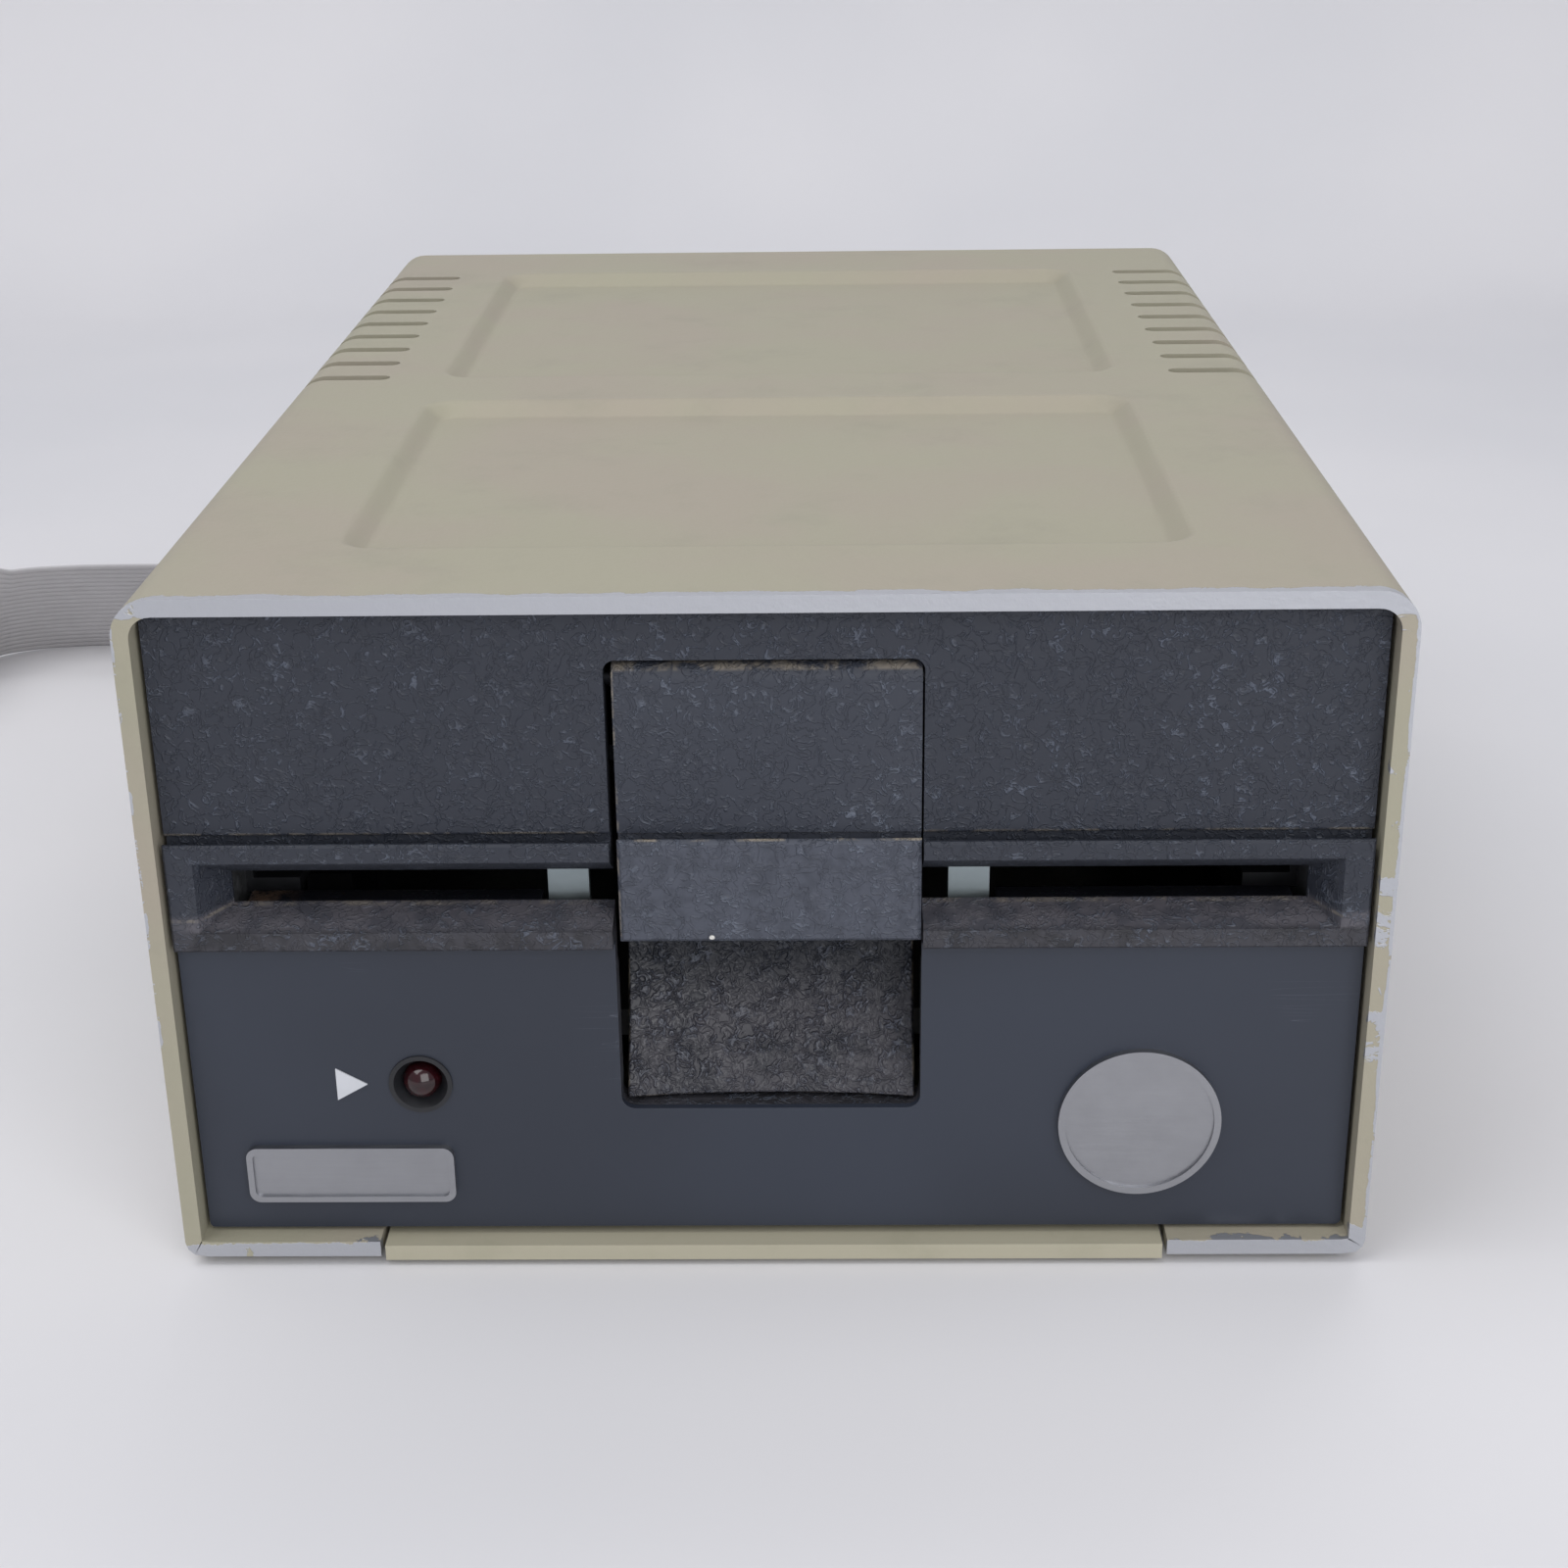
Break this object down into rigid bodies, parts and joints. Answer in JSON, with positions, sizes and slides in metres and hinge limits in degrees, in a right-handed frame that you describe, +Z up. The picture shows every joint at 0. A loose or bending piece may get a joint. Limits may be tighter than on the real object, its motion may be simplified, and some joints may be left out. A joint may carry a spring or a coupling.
{
  "type": "external floppy disk drive",
  "caption": "Free-standing 5.25 inch floppy disk drive in a folded sheet case, with a lever door, a slot, a lamp and a flat grey ribbon cable.",
  "frame": {"origin": "centre of the footprint of the case, on the surface its rubber feet stand on", "axes": "+X to the right seen from the front, +Y to the back, +Z up"},
  "size_m": [0.3815, 0.2649, 0.0927],
  "materials": {
    "cover_paint": "sheet sprayed with textured beige enamel, worn at the edges",
    "base_paint": "sheet sprayed with smooth cream enamel",
    "black_plastic": "grained black moulding",
    "face_paint": "satin blue-black paint",
    "lamp_red": "clear dark red",
    "collar_black": "black bush",
    "white_print": "printed white ink",
    "satin_aluminium": "satin",
    "cast_metal": "die cast",
    "steel": "ground",
    "screw_steel": "zinc plated",
    "zinc_sheet": "pale zinc plated sheet",
    "motor_can": "plated can",
    "brass": "turned",
    "white_moulding": "natural moulding",
    "black_moulding": "moulded",
    "belt_rubber": "matt",
    "ceramic_head": "lapped",
    "felt": "felt",
    "board_green": "solder resist",
    "component_mix": "moulded parts",
    "ribbon_grey": "ribbed grey insulation"
  },
  "bodies": {
    "drive_body": {"outer_cover": "cover_paint", "base_plate": "base_paint", "base_screws": "screw_steel", "rubber_feet": "belt_rubber", "rear_panel": "base_paint", "rear_panel_screws": "screw_steel", "cable_clamp": "screw_steel", "cable_clamp_screws": "screw_steel", "front_bezel": "black_plastic", "slot_guides": "black_moulding", "lower_faceplate": "face_paint", "finger_scoop": "black_plastic", "door_hinge_pin": "steel", "activity_lamp": "lamp_red", "lamp_collar": "collar_black", "pointer_mark": "white_print", "nameplate": "satin_aluminium", "roundel": "satin_aluminium", "bezel_screws": "screw_steel", "chassis": "cast_metal", "left_disk_rail": "black_moulding", "right_disk_rail": "black_moulding", "spindle_bearings": "steel", "drive_belt": "belt_rubber", "spindle_motor": "motor_can", "motor_screws": "screw_steel", "stepper_motor": "motor_can", "guide_rods": "steel", "clamp_arm_pivots": "steel", "write_protect_switch": "black_moulding", "logic_board": "board_green", "board_chips": "black_moulding", "board_parts": "component_mix", "board_standoffs": "steel", "board_screws": "screw_steel", "cable_header": "black_moulding", "inner_ribbon": "ribbon_grey", "motor_control_board": "board_green", "control_board_parts": "component_mix", "ribbon_cable": "ribbon_grey", "ribbon_coil": "ribbon_grey", "ribbon_connector": "black_moulding", "connector_strain_relief": "black_moulding"},
    "door": {"lever_door": "black_plastic"},
    "clamp": {"clamp_arm": "zinc_sheet", "collet_spring": "steel"},
    "collet": {"clamp_collet": "white_moulding", "collet_retainer": "steel"},
    "spindle": {"spindle_hub": "steel", "spindle_pulley": "cast_metal"},
    "motor_rotor": {"motor_pulley": "brass"},
    "cam": {"spiral_cam": "white_moulding"},
    "carriage": {"head_carriage": "white_moulding", "follower_pin": "steel", "read_write_head": "ceramic_head", "pad_arm_pin": "steel"},
    "pad": {"pad_arm": "white_moulding", "pressure_pad": "felt"},
    "protect": {"write_protect_lever": "zinc_sheet"}
  },
  "joints": [
    {"name": "door_hinge", "type": "hinge", "parent": "drive_body", "child": "door", "pos_m": [0, -0.1044, 0.0808], "axis": [-1, 0, 0], "range_deg": [0, 78]},
    {"name": "clamp_lift", "type": "hinge", "parent": "drive_body", "child": "clamp", "pos_m": [0, 0.035, 0.066], "axis": [-1, 0, 0], "range_deg": [0, 4.25]},
    {"name": "collet_spin", "type": "hinge", "parent": "clamp", "child": "collet", "pos_m": [0, -0.033, 0.06], "axis": [0, 0, 1], "continuous": true},
    {"name": "spindle_spin", "type": "hinge", "parent": "drive_body", "child": "spindle", "pos_m": [0, -0.033, 0.03], "axis": [0, 0, 1], "continuous": true},
    {"name": "motor_spin", "type": "hinge", "parent": "drive_body", "child": "motor_rotor", "pos_m": [-0.046, 0.052, 0.011], "axis": [0, 0, 1], "continuous": true},
    {"name": "cam_spin", "type": "hinge", "parent": "drive_body", "child": "cam", "pos_m": [0.03, 0.045, 0.032], "axis": [0, 0, 1], "range_deg": [0, 255]},
    {"name": "head_slide", "type": "slide", "parent": "drive_body", "child": "carriage", "axis": [0, -1, 0], "range_m": [0, 0.01791]},
    {"name": "pad_arm_lift", "type": "hinge", "parent": "carriage", "child": "pad", "pos_m": [0, 0.0372, 0.0586], "axis": [-1, 0, 0], "range_deg": [0, 8.05]},
    {"name": "write_protect_press", "type": "hinge", "parent": "drive_body", "child": "protect", "pos_m": [-0.06425, -0.056, 0.0392], "axis": [1, 0, 0], "range_deg": [0, 14], "stiffness_Nm_per_rad": 0.004}
  ],
  "couplings": [
    {"joint": "clamp_lift", "follows": "door_hinge", "ratio": 0.053846},
    {"joint": "pad_arm_lift", "follows": "door_hinge", "ratio": 0.10256},
    {"joint": "collet_spin", "follows": "spindle_spin", "ratio": 1},
    {"joint": "motor_spin", "follows": "spindle_spin", "ratio": 5.7143},
    {"joint": "head_slide", "follows": "cam_spin", "m_per_rad": 0.0040219}
  ]
}
